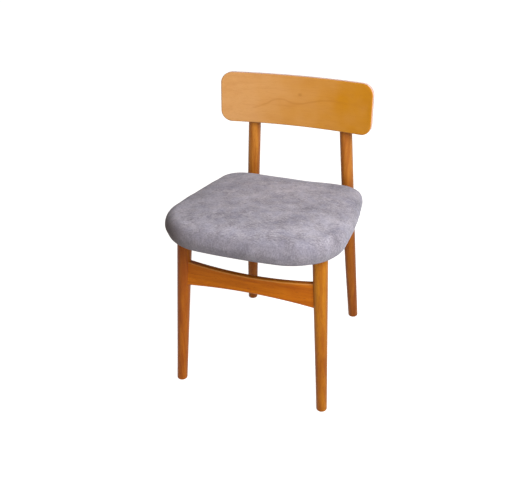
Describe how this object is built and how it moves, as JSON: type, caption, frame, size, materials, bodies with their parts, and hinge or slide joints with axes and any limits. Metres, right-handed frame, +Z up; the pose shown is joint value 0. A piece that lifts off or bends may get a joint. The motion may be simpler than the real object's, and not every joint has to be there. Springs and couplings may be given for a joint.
{
  "type": "dining chair",
  "caption": "Wooden dining chair with splayed round legs, curved plywood backrest on rear posts, waisted front rail and padded fabric seat.",
  "frame": {"origin": "on the floor, under the middle of the chair's bounding box", "axes": "+Z up, the front of the seat faces -Y, +X to the right of a person facing the front"},
  "size_m": [0.4424, 0.4962, 0.7132],
  "materials": {
    "lacquered_beech": "satin lacquer, honey stain",
    "moulded_plywood": "satin lacquer over face veneer",
    "raw_wood": "planed, unfinished",
    "raw_plywood": "sanded, unfinished",
    "foam": "open-cell foam",
    "brushed_fabric": "short brushed pile, mottled grey",
    "dust_cloth": "spun non-woven cloth",
    "zinc_steel": "zinc plated",
    "nylon": "moulded, dark brown"
  },
  "bodies": {
    "root": {"front_leg_left": "lacquered_beech", "front_leg_right": "lacquered_beech", "rear_leg_left": "lacquered_beech", "rear_leg_right": "lacquered_beech", "front_rail": "lacquered_beech", "side_rail_left": "lacquered_beech", "side_rail_right": "lacquered_beech", "rear_rail": "lacquered_beech", "corner_block_left": "raw_wood", "corner_block_right": "raw_wood", "backrest_panel": "moulded_plywood", "backrest_screw_plugs": "lacquered_beech", "front_rail_dowels": "raw_wood", "side_rail_front_dowels": "raw_wood", "side_rail_rear_dowels": "raw_wood", "rear_rail_dowels": "raw_wood", "seat_board": "raw_plywood", "seat_foam": "foam", "seat_cover": "brushed_fabric", "seat_dust_cover": "dust_cloth", "seat_staples": "zinc_steel", "seat_screws": "zinc_steel", "corner_block_screws": "zinc_steel", "backrest_screws": "zinc_steel", "glide_nails": "zinc_steel", "glide_front_left": "nylon", "glide_front_right": "nylon", "glide_rear_left": "nylon", "glide_rear_right": "nylon"}
  },
  "joints": []
}
